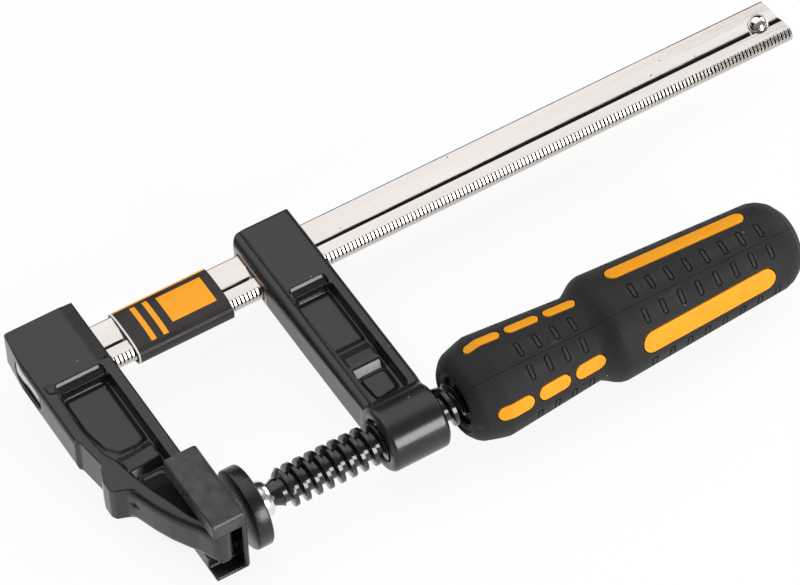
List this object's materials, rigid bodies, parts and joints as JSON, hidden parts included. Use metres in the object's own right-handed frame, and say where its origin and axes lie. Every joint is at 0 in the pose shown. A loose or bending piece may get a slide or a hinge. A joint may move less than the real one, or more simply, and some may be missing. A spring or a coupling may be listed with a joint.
{
  "type": "f-clamp",
  "caption": "Screw clamp with a grooved steel bar, a fixed jaw, a sliding arm, a threaded spindle with a swivel pad and a two-part handle.",
  "frame": {"origin": "on the spindle's axis, at the clamping face of the cap on the fixed jaw", "axes": "+X along the bar, from the fixed jaw towards its free end; +Z square to the wide face of the bar; the bar lies on the +Y side of the spindle"},
  "size_m": [0.2052, 0.0818, 0.0266],
  "materials": {
    "bright_steel": "bright zinc-plated rolled steel",
    "polished_steel": "polished",
    "black_paint": "satin black paint on a casting",
    "black_plastic": "matt moulded plastic",
    "label_film": "printed film",
    "black_steel": "glossy blackened steel",
    "orange_plastic": "satin moulded plastic",
    "black_rubber": "matt soft grip"
  },
  "bodies": {
    "rail": {"rail_bar": "bright_steel", "stop_ball": "polished_steel", "fixed_jaw": "black_paint", "fixed_jaw_cap": "black_plastic", "label_sleeve": "label_film"},
    "arm": {"sliding_arm": "black_paint"},
    "pad": {"swivel_pad": "bright_steel", "pad_cap": "black_plastic"},
    "spindle": {"spindle": "black_steel", "handle_core": "orange_plastic", "handle_grip": "black_rubber"}
  },
  "joints": [
    {"name": "arm_slide", "type": "slide", "parent": "rail", "child": "arm", "axis": [1, 0, 0], "range_m": [0, 0.122]},
    {"name": "pad_feed", "type": "slide", "parent": "arm", "child": "pad", "axis": [1, 0, 0], "range_m": [-0.0018, 0.028]},
    {"name": "spindle_turn", "type": "hinge", "parent": "pad", "child": "spindle", "pos_m": [0.007, 0, 0], "axis": [1, 0, 0], "range_deg": [-215, 3350]}
  ],
  "couplings": [
    {"joint": "pad_feed", "follows": "spindle_turn", "m_per_rad": 0.00047746}
  ]
}
